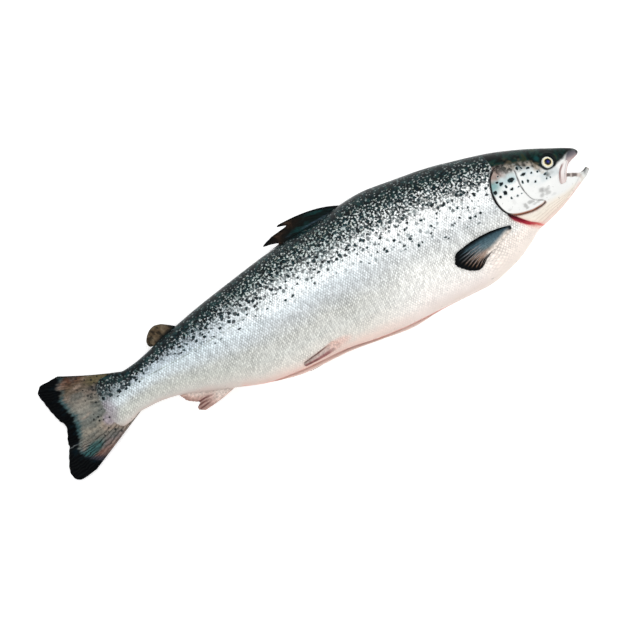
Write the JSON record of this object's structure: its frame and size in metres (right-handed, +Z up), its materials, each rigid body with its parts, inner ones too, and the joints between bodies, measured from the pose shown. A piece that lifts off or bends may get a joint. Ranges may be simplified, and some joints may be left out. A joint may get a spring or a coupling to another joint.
{
  "type": "whole salmon",
  "caption": "Whole gutted salmon lying on its left side, mouth a little open, with separate fins, eyes, gill covers and jaw plates.",
  "frame": {"origin": "middle of the fish's footprint, on the surface it lies on", "axes": "+X from tail to head, +Y from belly to back, +Z up through the right flank"},
  "size_m": [0.7524, 0.1924, 0.092],
  "materials": {
    "fish_skin": "wet silver scales, black-green spotted back, pale belly",
    "head_plate": "smooth wet silver skin over bone, black spots",
    "eye": "clear wet cornea over pale gold iris and black pupil",
    "mouth_flesh": "wet, pale pink",
    "dark_fin": "wet, olive-black, rayed",
    "tail_fin": "wet, slate grey to black at the edge, rayed",
    "pale_fin": "wet, pink-cream, rayed"
  },
  "bodies": {
    "root": {"body": "fish_skin", "gill_cover_right": "head_plate", "gill_cover_left": "head_plate", "jaw_plate_right": "head_plate", "jaw_plate_left": "head_plate", "eye_right": "eye", "eye_left": "eye", "tongue": "mouth_flesh", "dorsal_fin": "dark_fin", "adipose_fin": "dark_fin", "tail_fin": "tail_fin", "pectoral_fin_right": "tail_fin", "pectoral_fin_left": "tail_fin", "anal_fin": "pale_fin", "pelvic_fin_right": "pale_fin", "pelvic_fin_left": "pale_fin"}
  },
  "joints": []
}
